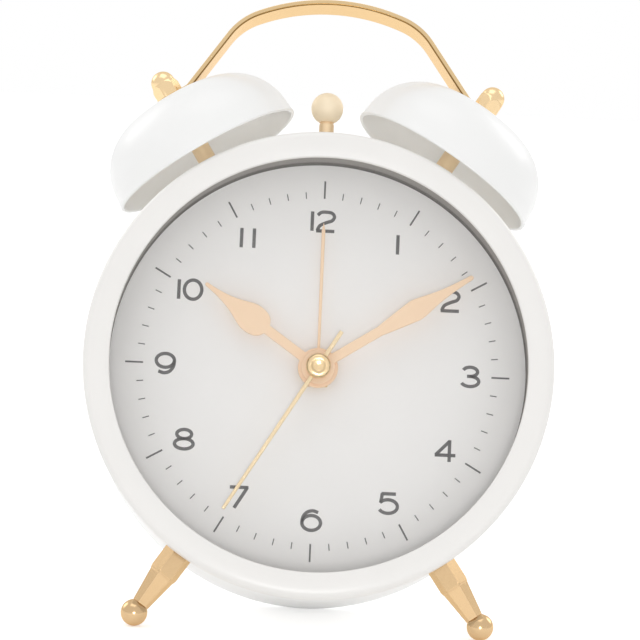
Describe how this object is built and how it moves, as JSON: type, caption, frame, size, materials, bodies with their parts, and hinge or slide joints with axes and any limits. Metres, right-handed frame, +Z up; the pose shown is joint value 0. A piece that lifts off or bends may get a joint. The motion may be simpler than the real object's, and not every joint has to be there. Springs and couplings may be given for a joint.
{
  "type": "twin bell alarm clock",
  "caption": "White twin bell alarm clock leaning back on two turned gold legs, with gold strip handle, hammer, posts and dome nuts, pale dial with arabic numerals and peach gold leaf hands.",
  "frame": {"origin": "middle of the clock's footprint box, on the table top it stands on", "axes": "+Z up, -Y towards the viewer of the dial, +X to the viewer's right"},
  "size_m": [0.1104, 0.072, 0.1483],
  "materials": {
    "white_paint": "satin white lacquer",
    "gold_metal": "polished pale gold plating",
    "hand_metal": "flat peach gold lacquer",
    "second_metal": "pale yellow gold lacquer",
    "clear_glass": "clear flat glass",
    "dial_paint": "matte pale grey, printed",
    "ring_dark": "matte dark grey",
    "steel": "plain",
    "magnet": "plain",
    "wheel_brass": "plain",
    "copper_wire": "lacquered winding",
    "cream_plastic": "moulded",
    "white_plastic": "moulded white",
    "grey_plastic": "moulded grey",
    "board_green": "lacquered laminate",
    "cell_sleeve": "plain printed sleeve"
  },
  "bodies": {
    "clock": {"front_bezel": "white_paint", "case_barrel": "white_paint", "bell_left": "white_paint", "bell_right": "white_paint", "leg_left": "gold_metal", "leg_right": "gold_metal", "bell_posts": "gold_metal", "bell_nuts": "gold_metal", "handle": "gold_metal", "lens": "clear_glass", "dial": "dial_paint", "dial_ring": "ring_dark", "retaining_ring": "steel", "cover_screws": "steel", "post_nuts": "steel", "hammer_pivot": "steel", "pivot_clip": "steel", "striker_yoke": "steel", "striker_screws": "steel", "step_stator": "steel", "dial_nut": "wheel_brass", "battery_contacts": "wheel_brass", "striker_coil": "copper_wire", "step_coil": "copper_wire", "movement_front": "cream_plastic", "movement_plate": "cream_plastic", "movement_rear": "cream_plastic", "back_cover": "white_plastic", "circuit_board": "board_green", "battery": "cell_sleeve"},
    "second_train": {"second_wheel": "wheel_brass", "second_hand": "second_metal", "second_hand_cap": "gold_metal"},
    "third_train": {"third_wheel": "wheel_brass"},
    "centre_train": {"centre_wheel": "wheel_brass"},
    "intermediate_train": {"intermediate_wheel": "wheel_brass"},
    "rotor_train": {"step_rotor": "magnet"},
    "minute_work": {"minute_pipe": "wheel_brass", "minute_hand": "hand_metal"},
    "minute_idler": {"minute_wheel": "wheel_brass"},
    "hour_work": {"hour_wheel": "wheel_brass", "hour_hand": "hand_metal"},
    "time_setter": {"time_set_shaft": "cream_plastic", "time_set_knob": "white_plastic"},
    "alarm_work": {"alarm_wheel": "wheel_brass", "alarm_hand": "hand_metal"},
    "alarm_setter": {"alarm_set_shaft": "cream_plastic", "alarm_set_knob": "white_plastic"},
    "hammer": {"hammer_lever": "steel", "hammer_magnet": "magnet", "hammer_rod": "gold_metal", "hammer_ball": "gold_metal"},
    "switch": {"alarm_switch": "grey_plastic"},
    "door": {"battery_door": "white_plastic"}
  },
  "joints": [
    {"name": "second_turn", "type": "hinge", "parent": "clock", "child": "second_train", "pos_m": [0, -0.0038, 0.05886], "axis": [0, 0.9708, -0.24], "continuous": true},
    {"name": "third_turn", "type": "hinge", "parent": "clock", "child": "third_train", "pos_m": [-0.00883, -0.00502, 0.05391], "axis": [0, 0.9708, -0.24], "continuous": true},
    {"name": "centre_turn", "type": "hinge", "parent": "clock", "child": "centre_train", "pos_m": [0, -0.0038, 0.05886], "axis": [0, 0.9708, -0.24], "continuous": true},
    {"name": "intermediate_turn", "type": "hinge", "parent": "clock", "child": "intermediate_train", "pos_m": [0.00728, -0.00481, 0.05478], "axis": [0, 0.9708, -0.24], "continuous": true},
    {"name": "rotor_turn", "type": "hinge", "parent": "clock", "child": "rotor_train", "pos_m": [0.01309, -0.00561, 0.05152], "axis": [0, 0.9708, -0.24], "continuous": true},
    {"name": "time_set_turn", "type": "hinge", "parent": "clock", "child": "time_setter", "pos_m": [0.0148, -0.0022, 0.06534], "axis": [0, 0.9708, -0.24], "continuous": true},
    {"name": "minute_turn", "type": "hinge", "parent": "clock", "child": "minute_work", "pos_m": [0, -0.0038, 0.05886], "axis": [0, 0.9708, -0.24], "continuous": true},
    {"name": "minute_idler_turn", "type": "hinge", "parent": "clock", "child": "minute_idler", "pos_m": [0.00613, -0.00256, 0.06385], "axis": [0, 0.9708, -0.24], "continuous": true},
    {"name": "hour_turn", "type": "hinge", "parent": "clock", "child": "hour_work", "pos_m": [0, -0.0038, 0.05886], "axis": [0, 0.9708, -0.24], "continuous": true},
    {"name": "alarm_set_turn", "type": "hinge", "parent": "clock", "child": "alarm_setter", "pos_m": [-0.0056, -0.00147, 0.06828], "axis": [0, 0.9708, -0.24], "continuous": true},
    {"name": "alarm_turn", "type": "hinge", "parent": "clock", "child": "alarm_work", "pos_m": [0, -0.0038, 0.05886], "axis": [0, 0.9708, -0.24], "continuous": true},
    {"name": "hammer_swing", "type": "hinge", "parent": "clock", "child": "hammer", "pos_m": [0, 0.00872, 0.09697], "axis": [0, 0.9708, -0.24], "range_deg": [-9, 9], "stiffness_Nm_per_rad": 0.01},
    {"name": "switch_slide", "type": "slide", "parent": "clock", "child": "switch", "axis": [0, 0.24, 0.9708], "range_m": [0, 0.004]},
    {"name": "door_slide", "type": "slide", "parent": "clock", "child": "door", "axis": [0, 0.9708, -0.24], "range_m": [0, 0.015]}
  ],
  "couplings": [
    {"joint": "third_turn", "follows": "second_turn", "ratio": -0.13333},
    {"joint": "centre_turn", "follows": "second_turn", "ratio": 0.016667},
    {"joint": "intermediate_turn", "follows": "second_turn", "ratio": -6},
    {"joint": "rotor_turn", "follows": "second_turn", "ratio": 30},
    {"joint": "minute_turn", "follows": "time_set_turn", "ratio": 1.4},
    {"joint": "minute_idler_turn", "follows": "time_set_turn", "ratio": -0.46667},
    {"joint": "hour_turn", "follows": "time_set_turn", "ratio": 0.11667},
    {"joint": "alarm_turn", "follows": "alarm_set_turn", "ratio": -0.77778}
  ]
}
